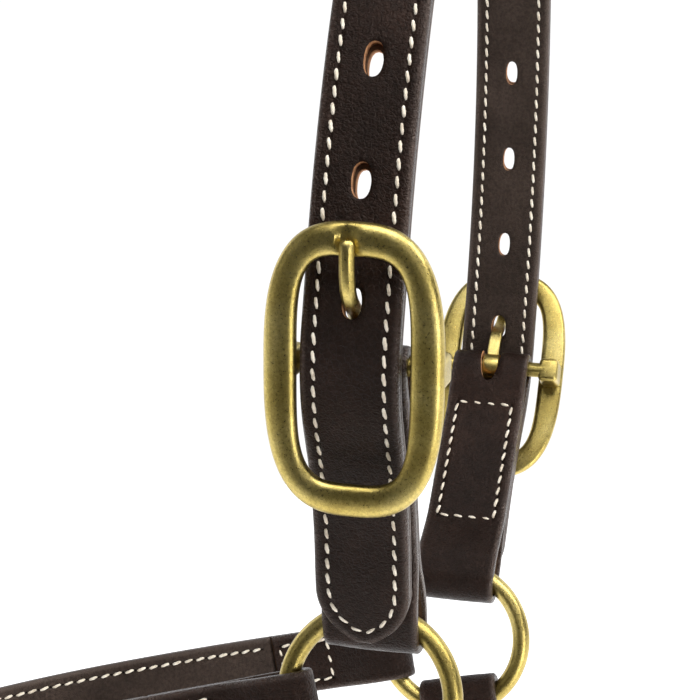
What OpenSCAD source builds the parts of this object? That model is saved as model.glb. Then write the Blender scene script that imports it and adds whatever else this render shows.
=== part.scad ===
// Leather headcollar: crown strap, two brass double-bar buckles on folded tabs, round rings,
// cheekpieces, noseband, chin straps with a lead ring, and a throat strap.
// Frame: millimetres, origin on the inside of the crown at the poll, +Z up,
// -Y towards the nose, +X towards the wearer's left.

/* [Leather] */
// Width of the crown strap
crown_w = 25; // [24:0.5:26]
// Width of the buckle tabs
tab_w = 26; // [25:0.5:26]
// Width of the cheekpieces and the noseband
strap_w = 25; // [22:0.5:25]
// Width of the throat strap
throat_w = 20; // [16:0.5:20]
// Width of the chin straps
chin_w = 20; // [16:0.5:20]
// Thickness of one ply of strap leather
ply = 2.5; // [2.2:0.1:2.6]
// Thickness of the lining leather of the crown
lining = 2.2; // [1.8:0.1:2.2]

/* [Rings] */
// Inside diameter of every ring
ring_inside = 40; // [40:1:42]
// Diameter of the ring stock
ring_wire = 5.5; // [5:0.1:5.5]

/* [Buckle] */
// Outside width of the buckle frame
frame_w = 45.5; // [45:0.5:48]
// Outside length of the buckle frame
frame_l = 74; // [74:1:76]
// Width of the frame's rim, seen from the front
rim = 8.3; // [8:0.1:8.4]
// Thickness of the frame's rim, front to back
rim_t = 4.5; // [4.3:0.1:4.6]
// Diameter of the centre bar
bar_d = 5; // [4.8:0.1:5]
// Distance between punched holes
hole_pitch = 30; // [28:1:31]
// Number of punched holes at each end of the crown
hole_count = 5; // [3:1:5]

/* [Size] */
// Radius of the crown's bend over the poll
poll_r = 92; // [90:1:94]
// Distance from the upper ring to the noseband ring, centre to centre
cheek_l = 185; // [170:5:200]
// Distance between the two noseband rings, centre to centre
nose_gap = 110; // [104:2:116]
// Length of the noseband's straight arm, from the ring's centre
nose_arm = 80; // [70:5:90]
// Length of the throat strap's arm, from the ring's centre
throat_arm = 122; // [112:5:130]

/* [Hidden] */
$fn = 48;

leather = [0.16, 0.10, 0.075];
lining_leather = [0.22, 0.14, 0.10];
brass = [0.78, 0.66, 0.35];

free = 0.4;                     // room between leather and a ring it turns on
wire_r = ring_wire / 2;
ring_r = ring_inside / 2 + wire_r;
crown_t = ply + lining;

// --- Paths: a path is a list of [length, turn in degrees], walked from a start [x, y, heading] ---

// The point and heading a distance u along a path
function walk(path, u, at, i = 0) =
    let (l = path[i][0], turn = path[i][1], last = i == len(path) - 1,
         s = last ? u : min(u, l), dh = turn * s / l, r = turn == 0 ? 0 : l / turn * 180 / PI,
         to = turn == 0
            ? [at[0] + s * cos(at[2]), at[1] + s * sin(at[2]), at[2]]
            : [at[0] + r * (sin(at[2] + dh) - sin(at[2])), at[1] - r * (cos(at[2] + dh) - cos(at[2])), at[2] + dh])
    last || u <= l ? to : walk(path, u - l, to, i + 1);
// A point moved sideways, to the left of its heading
function aside(p, o) = [p[0] - o * sin(p[2]), p[1] + o * cos(p[2])];
function span(path, i = 0) = i == len(path) ? 0 : path[i][0] + span(path, i + 1);
function reversed(list) = [for (i = [len(list) - 1 : -1 : 0]) list[i]];
// A path there and back: the half path, then the same half walked the other way
function there_and_back(half) = concat(half, [for (p = reversed(half)) [p[0], p[1]]]);
function smooth(t) = let (c = min(1, max(0, t))) c * c * (3 - 2 * c);

// A fold is [u, r, open, shut]: the hairpin's centre u along the strap, the half gap r between
// its plies, and where the gap starts to close and is shut.
function half_gap(u, fold) = fold[1] * (1 - smooth((u - fold[2]) / (fold[3] - fold[2])));
// The fold round a ring that lies in line with a strap of width w, from the ring's centre
function ring_fold(w) =
    let (r = wire_r + free - 0.05, apex = sqrt(pow(ring_r - wire_r, 2) - w * w / 4) - free)
    [apex + r, r, ring_r + wire_r + free, ring_r + wire_r + 17];

function steps(from, to, by = 3) = let (n = ceil((to - from) / by)) [for (i = [0 : n]) from + (to - from) * i / n];

// The outline of a strap folded round something at both ends
function folded_outline(path, at, a, b, grow = ply) =
    let (l = span(path), us = steps(a[0], l - b[0]),
         wide = [for (u = us) grow + max(half_gap(u, a), half_gap(l - u, b))],
         pa = walk(path, a[0], at), pb = walk(path, l - b[0], at))
    concat(
        [for (i = [0 : len(us) - 1]) aside(walk(path, us[i], at), -wide[i])],
        [for (t = [-81 : 9 : 81]) [pb[0] + (b[1] + grow) * cos(pb[2] + t), pb[1] + (b[1] + grow) * sin(pb[2] + t)]],
        reversed([for (i = [0 : len(us) - 1]) aside(walk(path, us[i], at), wide[i])]),
        [for (t = [99 : 9 : 261]) [pa[0] + (a[1] + grow) * cos(pa[2] + t), pa[1] + (a[1] + grow) * sin(pa[2] + t)]]);
// The pocket inside a fold at the start of a path
function pocket_outline(path, at, fold) =
    let (us = steps(fold[0], fold[3] - 0.5, 2), p = walk(path, fold[0], at))
    concat(
        [for (u = us) aside(walk(path, u, at), -half_gap(u, fold))],
        reversed([for (u = us) aside(walk(path, u, at), half_gap(u, fold))]),
        [for (t = [99 : 9 : 261]) [p[0] + fold[1] * cos(p[2] + t), p[1] + fold[1] * sin(p[2] + t)]]);
// The outline between two sideways offsets, from u0 to u1
function band_outline(path, at, u0, u1, low, high) =
    let (us = steps(u0, u1))
    concat([for (u = us) aside(walk(path, u, at), low)], reversed([for (u = us) aside(walk(path, u, at), high)]));
// The same path seen from its other end
function from_end(path, at) = let (e = walk(path, span(path), at)) [e[0], e[1], e[2] + 180];
function backwards(path) = [for (p = reversed(path)) [p[0], -p[1]]];

module folded_2d(path, at, a, b) {
    difference() {
        polygon(folded_outline(path, at, a, b));
        polygon(pocket_outline(path, at, a));
        polygon(pocket_outline(backwards(path), from_end(path, at), b));
    }
}
// Stands a 2D shape in the plane of [direction at angle a above +Y, X] and gives it its width
module strap(a, w) { rotate([a, 0, 0]) rotate([180, 0, 90]) linear_extrude(w, center = true) children(); }
// Stands a 2D shape in the XZ plane
module upright(w, y = 0) { translate([0, y, 0]) rotate([90, 0, 0]) linear_extrude(w, center = true) children(); }
module both_or(side) { if (side > 0) children(); else mirror([1, 0, 0]) children(); }

// --- Crown: half path from the poll down the left side to the tip ---
bar_r = bar_d / 2;
tab_lean = 29;                  // the tabs lean in towards the rings
frame_lean = tab_lean / 2;      // the buckle frames lean half as much
tilt = 5.5;                     // the crown and the tabs run a little backwards on their way down
module tilted() { rotate([tilt, 0, 0]) children(); }
bend_r = 40;                    // the crown's bend over the centre bar
settle = 9;                     // extra bend that lets the crown down onto the tab
rise = 10;                      // bend that takes the crown's end up over the tab's fold
tip_l = 6.5;                    // flat end of the crown, over the fold
over_bar = bar_r + 0.3 + ply + 0.25 + lining;   // centre bar to the crown's ply line
side_r = 280;
poll_turn = 70;
function arc(r, turn) = [r * abs(turn) * PI / 180, turn];
crown_half = [arc(poll_r, -poll_turn), arc(side_r, poll_turn - 90), [18, 0],
    arc(bend_r, -(tab_lean + settle)), [8, 0], arc(80, settle), [2, 0],
    arc(100, rise), arc(100, -rise), [tip_l, 0]];
crown_start = [0, lining, 0];
bar_u = crown_half[0][0] + crown_half[1][0] + crown_half[2][0] + arc(bend_r, frame_lean)[0];
crown_l = span(crown_half);
bar_on_crown = walk(crown_half, bar_u, crown_start);
bar = aside(bar_on_crown, -over_bar);           // centre of the left buckle's centre bar

hole_u = bar_u - 15.6;          // the hole that the tongue is in
hole_w = 5;
hole_l = 9.6;
tongue_w = 4.2;

// --- Upper rings and tabs ---
tab_end = 80;                   // centre bar to the fold round the ring
tab_start = [bar[0], bar[1], -90 - tab_lean];
tab_path = [[tab_end, 0]];
tab_foot = walk(tab_path, tab_end, tab_start);
// Across a fold of width w the ring's wire rises and falls by this much either way
function sag(w) = (ring_r - sqrt(ring_r * ring_r - w * w / 4)) / 2;
tab_in = sag(tab_w) * cos(tab_lean);            // the ring sits this far up inside the fold
hang = tab_foot[1] + tab_in * cos(tab_lean) - (ring_r - sag(tab_w));
upper = [tab_foot[0] + tab_in * sin(tab_lean), -hang * sin(tilt), hang * cos(tilt)];    // left upper ring
bar_fold = [0, bar_r + 0.3, 0, 20];
tilted_fold = [0, wire_r + 1.35, 5, 24];

// --- Cheekpieces, noseband rings ---
cheek_a = -97;                  // the cheekpiece's direction, in degrees above +Y
lower = [nose_gap / 2, upper[1] + cheek_l * cos(cheek_a), upper[2] + cheek_l * sin(cheek_a)];
splay = atan((lower[0] - upper[0]) / cheek_l);
cheek_path = [[cheek_l / cos(splay), 0]];

// --- Loops: the noseband in front and the throat strap behind, each from the left ring ---
nose_a = -175;
nose_in = 12;
nose_first = [30, 0];
nose_side = [nose_arm - 30, nose_in];
nose_x = walk([nose_first, nose_side], nose_arm, [0, lower[0], 0]);
function closing(half_width, heading) = arc(half_width / cos(heading), 90 - heading);
function mirrored_turns(half) = [for (p = half) [p[0], -p[1]]];
nose_half = mirrored_turns([nose_first, nose_side,
    closing(lower[0] - (nose_x[1] - lower[0]), nose_in)]);
nose_path = there_and_back(nose_half);

throat_a = -10;
throat_out = 12;
throat_half = mirrored_turns([[32, 0], [30, -throat_out], [throat_arm - 62, 2 * throat_out],
    closing(upper[0] + throat_belly(), throat_out)]);
function throat_belly() =
    walk([[32, 0], [30, throat_out], [throat_arm - 62, -2 * throat_out]], throat_arm, [0, 0, 0])[1];
throat_path = there_and_back(throat_half);
return_l = 62;                  // how far the turned-back ends of the loops reach

// --- Chin straps and lead ring ---
chin_a = -38;
chin_in = 60;
chin_up = sag(chin_w) * sin(chin_in);           // the lead ring sits this far up inside its folds
chin_last = (lower[0] - 30 * (1 - cos(chin_in)) - (ring_r - sag(chin_w)) + chin_up * sin(chin_in))
    / sin(chin_in);
chin_path = [[30, 0], arc(30, -chin_in), [chin_last, 0]];
chin_start = [0, lower[0], 0];
chin_foot = walk(chin_path, span(chin_path), chin_start);
lead = chin_foot[0] - chin_up * cos(chin_in);   // how far the lead ring's centre is from the noseband rings'
chin_tilted_fold = [0, wire_r + 1, 4, 20];

// ---------------------------------------------------------------- crown
// One face of the crown's left half, from the poll to the tip
function left(o) = [for (u = steps(0, crown_l)) aside(walk(crown_half, u, crown_start), o)];
// The same points on the right, without the one on the centre line
function others(points) = [for (i = [1 : len(points) - 1]) [-points[i][0], points[i][1]]];
// The crown from tip to tip, between two offsets, with its holes and pointed ends
module crown_layer(low, high) {
    difference() {
        upright(crown_w) {
            polygon(concat(reversed(left(low)), others(left(low)), reversed(others(left(high))), left(high)));
        }
        for (side = [1, -1], i = [0 : hole_count - 1]) both_or(side)
            punched(hole_u - i * hole_pitch);
        for (side = [1, -1]) both_or(side) tip_waste();
    }
}
// A slot through the crown at u
module punched(u) {
    p = walk(crown_half, u, crown_start);
    translate([p[0], 0, p[1]]) rotate([0, -p[2], 0]) {
        for (x = [-1, 1]) translate([x * (hole_l - hole_w) / 2, 0, 0])
            cylinder(h = 4 * crown_t, d = hole_w, center = true);
        cube([hole_l - hole_w, hole_w, 4 * crown_t], center = true);
    }
}
// What is cut from each end of the crown to leave a pointed arch
module tip_waste() {
    p = walk(crown_half, crown_l, crown_start);
    arch_r = 16.5;
    arch_l = sqrt(crown_w * arch_r - crown_w * crown_w / 4);
    translate([p[0], 0, p[1]]) rotate([0, -p[2], 0]) difference() {
        translate([-arch_l, -crown_w, -12]) cube([arch_l + 5, 2 * crown_w, 24]);
        intersection() {
            for (y = [-1, 1]) translate([-arch_l, y * (arch_r - crown_w / 2), 0])
                cylinder(h = 30, r = arch_r, center = true, $fn = 96);
        }
    }
}
module crown_outer() { color(leather) tilted() crown_layer(0, ply); }
module crown_lining() { color(lining_leather) tilted() crown_layer(-lining, 0); }

// ---------------------------------------------------------------- buckles
// Moves children from the buckle's frame [length s, side y, out n] to the left centre bar
module at_bar() { translate([bar[0], 0, bar[1]]) rotate([0, 90 + frame_lean, 0]) children(); }
frame_back = 7.0;               // centre bar to the back of the rim
frame_y = -0.9;                 // the frame sits a little to one side on its tab
tongue_y = 0.1;
// A rounded oblong; p is 2 for an ellipse and more for a squarer one
function oval(a, b, p, n = 96) = [for (i = [0 : n - 1]) let (t = 360 * i / n)
    [a * sign(cos(t)) * pow(abs(cos(t)), 2 / p), b * sign(sin(t)) * pow(abs(sin(t)), 2 / p)]];
module rim_ring(inset, h) {
    linear_extrude(h) difference() {
        polygon(oval(frame_l / 2 - inset, frame_w / 2 - inset, 2.8));
        polygon(oval(frame_l / 2 - rim + inset, frame_w / 2 - rim + inset, 4));
    }
}
module buckle_frame(side) {
    color(brass) tilted() both_or(side) at_bar() translate([0, frame_y, 0]) {
        difference() {
            union() {
                translate([0, 0, frame_back]) rim_ring(0, rim_t - 1.4);
                translate([0, 0, frame_back]) rim_ring(1.3, rim_t);
            }
            // the recess that the tongue's tip drops into
            translate([-frame_l / 2 + 3.2, tongue_y - frame_y - 2.5, frame_back + rim_t - 1.2])
                cube([rim, 5, 4]);
        }
        rotate([90, 0, 0]) cylinder(h = frame_w - rim, d = bar_d, center = true);
        // the lugs that carry the centre bar behind the rim
        for (y = [-1, 1]) translate([-4, y * (frame_w / 2 - rim / 2 + 0.3) - 3.3, -bar_r])
            cube([8, 6.6, frame_back + bar_r + 0.6]);
    }
}
// The tongue's side view: its underside and its top, from the loop to the tip
module buckle_tongue(side) {
    color(brass) tilted() both_or(side) at_bar() translate([0, tongue_y, 0]) rotate([90, 0, 0]) difference() {
        union() {
            cylinder(h = tongue_w + 1.4, r = bar_r + 1.9, center = true);
            linear_extrude(tongue_w, center = true)
                polygon(concat(tongue_edge(-1), reversed(tongue_edge(1))));
        }
        cylinder(h = 3 * tongue_w, r = bar_r + 0.06, center = true);
    }
}
// The middle line of the tongue and its half thickness, from the loop to the tip
tongue_line = [[-3.2, 0.3, 1.6], [-8, 0.7, 1.45], [-11.5, 1.9, 1.35], [-13.9, 4, 1.3], [-15.9, 6.5, 1.35],
    [-17.7, 8.8, 1.45], [-20.4, 10.6, 1.5], [-24, 11.55, 1.55], [-29, 12, 1.5], [-33, 11.9, 1.3]];
function tongue_edge(way) = [for (i = [0 : len(tongue_line) - 1])
    let (p = tongue_line[i], q = tongue_line[max(0, i - 1)], r = tongue_line[min(len(tongue_line) - 1, i + 1)],
         d = [r[0] - q[0], r[1] - q[1]], n = [-d[1], d[0]] / norm(d))
    [p[0] + way * n[0] * p[2], p[1] + way * n[1] * p[2]]];

module buckle_tab(side) {
    color(leather) tilted() both_or(side) difference() {
        upright(tab_w) folded_2d(tab_path, tab_start, bar_fold, tilted_fold);
        // the slot that the tongue works in
        at_bar() translate([-9, tongue_y - 3.5, -7]) cube([18, 7, 14]);
    }
}

// ---------------------------------------------------------------- rings
module ring(at) { color(brass) translate(at) rotate([0, 90, 0])
    rotate_extrude($fn = 96) translate([ring_r, 0]) circle(wire_r, $fn = 24); }
module lead_ring() { translate([0, lower[1], lower[2]]) rotate([chin_a, 0, 0])
    translate([0, lead, 0]) rotate([0, 0, 90]) ring([0, 0, 0]); }

// ---------------------------------------------------------------- straps between rings
module cheekpiece(side) {
    color(leather) both_or(side) translate([0, upper[1], upper[2]]) strap(cheek_a, strap_w)
        folded_2d(cheek_path, [0, upper[0], splay], ring_fold(strap_w), ring_fold(strap_w));
}
module loop_lining_2d(path, at, t = ply) {
    polygon(band_outline(path, at, return_l, span(path) - return_l, 0, -t));
}
module loop_outer(path, at, w, a, from) {
    color(leather) translate(from) strap(a, w) difference() {
        folded_2d(path, at, ring_fold(w), ring_fold(w));
        loop_lining_2d(path, at, 2 * ply);
    }
}
module loop_lining(path, at, w, a, from) {
    color(lining_leather) translate(from) strap(a, w) loop_lining_2d(path, at);
}
nose_from = [0, lower[1], lower[2]];
throat_from = [0, upper[1], upper[2]];
module noseband_outer() { loop_outer(nose_path, [0, lower[0], 0], strap_w, nose_a, nose_from); }
module noseband_lining() { loop_lining(nose_path, [0, lower[0], 0], strap_w, nose_a, nose_from); }
module throat_strap_outer() { loop_outer(throat_path, [0, upper[0], 0], throat_w, throat_a, throat_from); }
module throat_strap_lining() { loop_lining(throat_path, [0, upper[0], 0], throat_w, throat_a, throat_from); }
module chin_strap(side) {
    color(leather) both_or(side) translate([0, lower[1], lower[2]]) strap(chin_a, chin_w)
        folded_2d(chin_path, chin_start, ring_fold(chin_w), chin_tilted_fold);
}

crown_outer();
crown_lining();
buckle_tab(1);  // left_buckle_tab
buckle_tab(-1);  // right_buckle_tab
buckle_frame(1);  // left_buckle_frame
buckle_frame(-1);  // right_buckle_frame
buckle_tongue(1);  // left_buckle_tongue
buckle_tongue(-1);  // right_buckle_tongue
ring(upper);  // left_upper_ring
mirror([1, 0, 0]) ring(upper);  // right_upper_ring
cheekpiece(1);  // left_cheekpiece
cheekpiece(-1);  // right_cheekpiece
ring(lower);  // left_noseband_ring
mirror([1, 0, 0]) ring(lower);  // right_noseband_ring
noseband_outer();
noseband_lining();
throat_strap_outer();
throat_strap_lining();
chin_strap(1);  // left_chin_strap
chin_strap(-1);  // right_chin_strap
lead_ring();
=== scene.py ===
import math

import bmesh
import bpy
import numpy as np
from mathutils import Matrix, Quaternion, Vector


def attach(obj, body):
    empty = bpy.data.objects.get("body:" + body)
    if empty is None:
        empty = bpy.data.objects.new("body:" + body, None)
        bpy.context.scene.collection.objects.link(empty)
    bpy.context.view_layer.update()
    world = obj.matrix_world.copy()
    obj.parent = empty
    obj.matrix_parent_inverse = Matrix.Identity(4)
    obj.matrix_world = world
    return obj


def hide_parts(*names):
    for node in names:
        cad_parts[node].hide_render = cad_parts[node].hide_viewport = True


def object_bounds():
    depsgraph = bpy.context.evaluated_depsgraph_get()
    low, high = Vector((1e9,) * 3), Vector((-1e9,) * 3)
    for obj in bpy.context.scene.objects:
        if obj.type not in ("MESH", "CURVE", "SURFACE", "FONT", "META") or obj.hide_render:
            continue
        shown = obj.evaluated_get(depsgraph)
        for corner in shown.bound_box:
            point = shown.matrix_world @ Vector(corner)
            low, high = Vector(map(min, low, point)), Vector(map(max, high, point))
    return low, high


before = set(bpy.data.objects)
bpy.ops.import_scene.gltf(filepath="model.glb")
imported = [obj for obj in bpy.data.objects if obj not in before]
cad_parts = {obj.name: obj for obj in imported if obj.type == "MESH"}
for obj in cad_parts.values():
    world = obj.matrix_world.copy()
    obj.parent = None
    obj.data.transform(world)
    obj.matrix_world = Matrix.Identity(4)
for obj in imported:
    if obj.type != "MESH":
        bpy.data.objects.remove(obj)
cad_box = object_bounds()

# ------------------------------------------------------------------ the design's sizes, mm
PLY, LINING = 2.5, 2.2                      # thickness of a ply and of the crown's lining
BAR_R, WIRE_R, RING_R = 2.5, 2.75, 22.75    # radius of the buckle's bar, of the rings' wire, and of the rings
CROWN_W, TAB_W, STRAP_W, THROAT_W, CHIN_W = 25.0, 26.0, 25.0, 20.0, 20.0
FRAME_L, FRAME_W = 74.0, 45.5               # the buckle frame outside
RIM, RIM_T = 8.3, 4.5                       # its rim's width and thickness
FRAME_BACK, FRAME_Y = 7.0, -0.9             # from the bar's centre to the rim's back and the frame's middle
OUTER_POWER, INNER_POWER = 2.8, 4.0         # how square the frame's outer and inner ovals are
TONGUE_Y, TONGUE_W = 0.1, 4.2
TAB_LEAN, FRAME_LEAN, TILT = 29.0, 14.5, 5.5    # degrees
HOLE_PITCH, HOLE_COUNT, HOLE_W, HOLE_L = 30.0, 5, 5.0, 9.6
CHEEK_L, NOSE_GAP, NOSE_ARM, THROAT_ARM = 185.0, 110.0, 80.0, 122.0
CHEEK_A, NOSE_A, THROAT_A, CHIN_A = -97.0, -175.0, -10.0, -38.0     # headings in side view, degrees
RETURN_L = 62.0      # how far a loop strap's ends turn back
PITCH = 4.3          # one stitch
STEP = PITCH / 8     # between the rows of points along a strap
INSET = 3.6          # stitch row to the strap's edge
THREAD_R = 0.47
ARCH_R = 16.5        # the crown's pointed ends
ARCH_L = math.sqrt(CROWN_W * ARCH_R - CROWN_W ** 2 / 4)
SLOT_POWER = 2.35    # how square the punched holes' ends are
SLOT_BLEND = 1.6     # how far round a hole the points are drawn in to it
MM = 0.001           # metres in a millimetre


def rad(a):
    return math.radians(a)


def arc(r, turn):
    return (r * abs(rad(turn)), turn)


def walk(path, u, at):
    """The point and heading a distance u along a path of (length, turn) pieces, which starts at
    the point and heading at."""
    x, y, h = at
    for i, (l, turn) in enumerate(path):
        last = i == len(path) - 1
        s = u if last or u <= l else l
        if turn == 0:
            x, y = x + s * math.cos(rad(h)), y + s * math.sin(rad(h))
        else:
            r = l / rad(turn)
            dh = turn * s / l
            x += r * (math.sin(rad(h + dh)) - math.sin(rad(h)))
            y -= r * (math.cos(rad(h + dh)) - math.cos(rad(h)))
            h += dh
        if last or u <= l:
            return x, y, h
        u -= l


def aside(p, o):
    """The point a distance o to the left of a point with a heading."""
    return p[0] - o * math.sin(rad(p[2])), p[1] + o * math.cos(rad(p[2]))


def span(path):
    return sum(l for l, _ in path)


def smooth(t):
    t = np.clip(t, 0, 1)
    return t * t * (3 - 2 * t)


def sag(w):
    """How far a strap of width w sits in from the ring's lowest point."""
    return (RING_R - math.sqrt(RING_R ** 2 - w * w / 4)) / 2


# ------------------------------------------------------------------ paths, as in the CAD
crown_half = [arc(92, -70), arc(280, -20), (18, 0), arc(40, -(TAB_LEAN + 9)), (8, 0), arc(80, 9), (2, 0),
              arc(100, 10), arc(100, -10), (6.5, 0)]
CROWN_AT = (0, LINING, 0)
CROWN_L = span(crown_half)
BAR_U = span(crown_half[:3]) + arc(40, FRAME_LEAN)[0]
HOLE_U = BAR_U - 15.6
bar = aside(walk(crown_half, BAR_U, CROWN_AT), -(BAR_R + 0.3 + PLY + 0.25 + LINING))
TAB_END = 80.0
tab_at = (bar[0], bar[1], -90 - TAB_LEAN)
tab_path = [(TAB_END, 0)]
foot = walk(tab_path, TAB_END, tab_at)
tab_in = sag(TAB_W) * math.cos(rad(TAB_LEAN))
hang = foot[1] + tab_in * math.cos(rad(TAB_LEAN)) - (RING_R - sag(TAB_W))
# centres of the left upper ring and the left noseband ring
upper = (foot[0] + tab_in * math.sin(rad(TAB_LEAN)), -hang * math.sin(rad(TILT)), hang * math.cos(rad(TILT)))
lower = (NOSE_GAP / 2,
         upper[1] + CHEEK_L * math.cos(rad(CHEEK_A)),
         upper[2] + CHEEK_L * math.sin(rad(CHEEK_A)))
splay = math.degrees(math.atan((lower[0] - upper[0]) / CHEEK_L))
cheek_path = [(CHEEK_L / math.cos(rad(splay)), 0)]


def there_and_back(half):
    return half + half[::-1]


def turned(half):
    return [(l, -t) for l, t in half]


def closing(half_width, heading):
    return arc(half_width / math.cos(rad(heading)), 90 - heading)


nose_x = walk([(30, 0), (NOSE_ARM - 30, 12)], NOSE_ARM, (0, lower[0], 0))
nose_end = closing(lower[0] - (nose_x[1] - lower[0]), 12)
nose_path = there_and_back(turned([(30, 0), (NOSE_ARM - 30, 12), nose_end]))
belly = walk([(32, 0), (30, 12), (THROAT_ARM - 62, -24)], THROAT_ARM, (0, 0, 0))[1]
throat_end = closing(upper[0] + belly, 12)
throat_path = there_and_back(turned([(32, 0), (30, -12), (THROAT_ARM - 62, 24), throat_end]))
chin_up = sag(CHIN_W) * math.sin(rad(60))
chin_last = (lower[0] - 15 - (RING_R - sag(CHIN_W)) + chin_up * math.sin(rad(60))) / math.sin(rad(60))
chin_path = [(30, 0), arc(30, -60), (chin_last, 0)]


# A fold is (where its round end starts, the half gap there, where the gap starts to close, where it is shut)
def ring_fold(w):
    """The fold of a strap of width w round a ring's wire."""
    r = WIRE_R + 0.35
    apex = math.sqrt((RING_R - WIRE_R) ** 2 - w * w / 4) - 0.4
    return (apex + r, r, RING_R + WIRE_R + 0.4, RING_R + WIRE_R + 17)


BAR_FOLD = (0, BAR_R + 0.3, 0, 20)
TAB_FOLD = (0, WIRE_R + 1.35, 5, 24)
CHIN_FOLD = (0, WIRE_R + 1, 4, 20)


def half_gap(u, fold):
    return fold[1] * (1 - float(smooth((u - fold[2]) / (fold[3] - fold[2]))))


# ------------------------------------------------------------------ planes: 2D path point and width to 3D
def crown_plane(x, y, w):
    c, s = math.cos(rad(TILT)), math.sin(rad(TILT))
    return np.stack([x, w * c - y * s, w * s + y * c], -1)


def strap_plane(a, origin):
    c, s = math.cos(rad(a)), math.sin(rad(a))

    def at(x, y, w):
        return np.stack([origin[0] + y, origin[1] + x * c - w * s, origin[2] + x * s + w * c], -1)
    return at


# ------------------------------------------------------------------ one ply of strap leather
class Line:
    """A centre line in 2D, resampled evenly: points, unit normals on the shown side, distance along."""

    def __init__(self, pts, step, closed=False, flip=False):
        p = np.array(pts, float)
        keep = [0]
        for i in range(1, len(p)):
            if np.linalg.norm(p[i] - p[keep[-1]]) > 1e-4:
                keep.append(i)
        p = p[keep]
        if closed:
            if np.linalg.norm(p[0] - p[-1]) < 1e-3:
                p = p[:-1]
            p = np.vstack([p, p[:1]])
        d = np.concatenate([[0], np.cumsum(np.linalg.norm(np.diff(p, axis=0), axis=1))])
        self.length = d[-1]
        n = max(4, int(round(self.length / step)))
        u = np.linspace(0, self.length, n + 1)
        q = np.stack([np.interp(u, d, p[:, 0]), np.interp(u, d, p[:, 1])], 1)
        if closed:
            q, u = q[:-1], u[:-1]
            for _ in range(3):
                q = 0.25 * np.roll(q, 1, 0) + 0.5 * q + 0.25 * np.roll(q, -1, 0)
            t = np.roll(q, -1, 0) - np.roll(q, 1, 0)
        else:
            for _ in range(3):
                q[1:-1] = 0.25 * q[:-2] + 0.5 * q[1:-1] + 0.25 * q[2:]
            t = np.gradient(q, axis=0)
        t /= np.linalg.norm(t, axis=1)[:, None]
        self.q, self.u, self.closed = q, u, closed
        self.n = np.stack([-t[:, 1], t[:, 0]], 1) * (-1 if flip else 1)

    def at(self, u):
        """Points and normals at distances u."""
        u = np.asarray(u, float)
        if self.closed:
            u = np.mod(u, self.length)
            U = np.append(self.u, self.length)
            Q, N = np.vstack([self.q, self.q[:1]]), np.vstack([self.n, self.n[:1]])
        else:
            U, Q, N = self.u, self.q, self.n
        point = np.stack([np.interp(u, U, Q[:, 0]), np.interp(u, U, Q[:, 1])], -1)
        n = np.stack([np.interp(u, U, N[:, 0]), np.interp(u, U, N[:, 1])], -1)
        return point, n / np.linalg.norm(n, axis=-1, keepdims=True)


EDGE_R, BACK_R = 1.05, 0.32             # the rounding of a ply's shown edge and of its back edge
EDGE_ANGLES = [90, 68, 45, 22, 0]
BACK_ANGLES = [0, -45, -90]
# where the columns of points lie: in from the edge, and out from the middle
COLUMNS = np.array([EDGE_R, 1.45, 1.9, 2.4, 2.85, 3.2, 3.6, 4.0, 4.35, 4.8, 5.5, 6.6, 8.0])
MIDDLE = np.array([3.3, 2.5, 1.7, 0.9, 0.0])


def columns(width):
    """Where a ply's columns of points lie across it, closer together round the stitch rows."""
    v = np.concatenate([width / 2 - COLUMNS, MIDDLE])
    v = v[(v <= width / 2 - COLUMNS[0])]
    v = np.array(sorted(set(np.round(v[v >= 0], 3)), reverse=True))
    keep = [v[0]]
    for x in v[1:]:
        if keep[-1] - x > 0.28 or x == 0:
            keep.append(x)
    v = np.array(keep)
    return np.concatenate([v, -v[-2::-1]])


def depth_in(u, v, width, length, pointed):
    """How far in from the strap's edge a point is; pointed straps have an arch at each end."""
    d = np.minimum(u, length - u) if pointed else ARCH_L
    x = np.clip(ARCH_L - d, 0, ARCH_L)
    return ARCH_R - np.hypot(x, np.abs(v) + ARCH_R - width / 2)


def relief(u, v, deep, spans, seed, holes=()):
    """How far the shown face stands off its plane: a soft crown, pulled-in stitch rows and their awl holes,
    slow waves in the leather and the dip round each punched hole."""
    row = np.abs(deep - INSET)
    z = 0.16 * (1 - np.exp(-np.maximum(deep - INSET, 0) / 2.5))
    for r0, r1 in spans:
        on = smooth((u - r0) / 2 + 1) * smooth((r1 - u) / 2 + 1)
        along = (u - r0) / PITCH
        near = np.abs(along - np.round(along)) * PITCH
        z = z + (0.10 * np.exp(-((row - 1.1) / 0.6) ** 2) - 0.26 * np.exp(-(row / 0.62) ** 2)
                 - 0.30 * np.exp(-(near / 0.55) ** 2 - (row / 0.45) ** 2)) * on
    z = z + 0.05 * np.sin(u * 0.071 + seed) * np.sin(v * 0.23 + 1.3 * seed)
    z = z + 0.035 * np.sin(u * 0.19 + 2 * seed + v * 0.11)
    for uc, a, b in holes:
        d = np.hypot(np.maximum(np.abs(u - uc) - (a - b), 0), v) - b
        z = z - 0.32 * np.exp(-(np.clip(d, 0, 9) / 0.55) ** 2)
    return z


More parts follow.
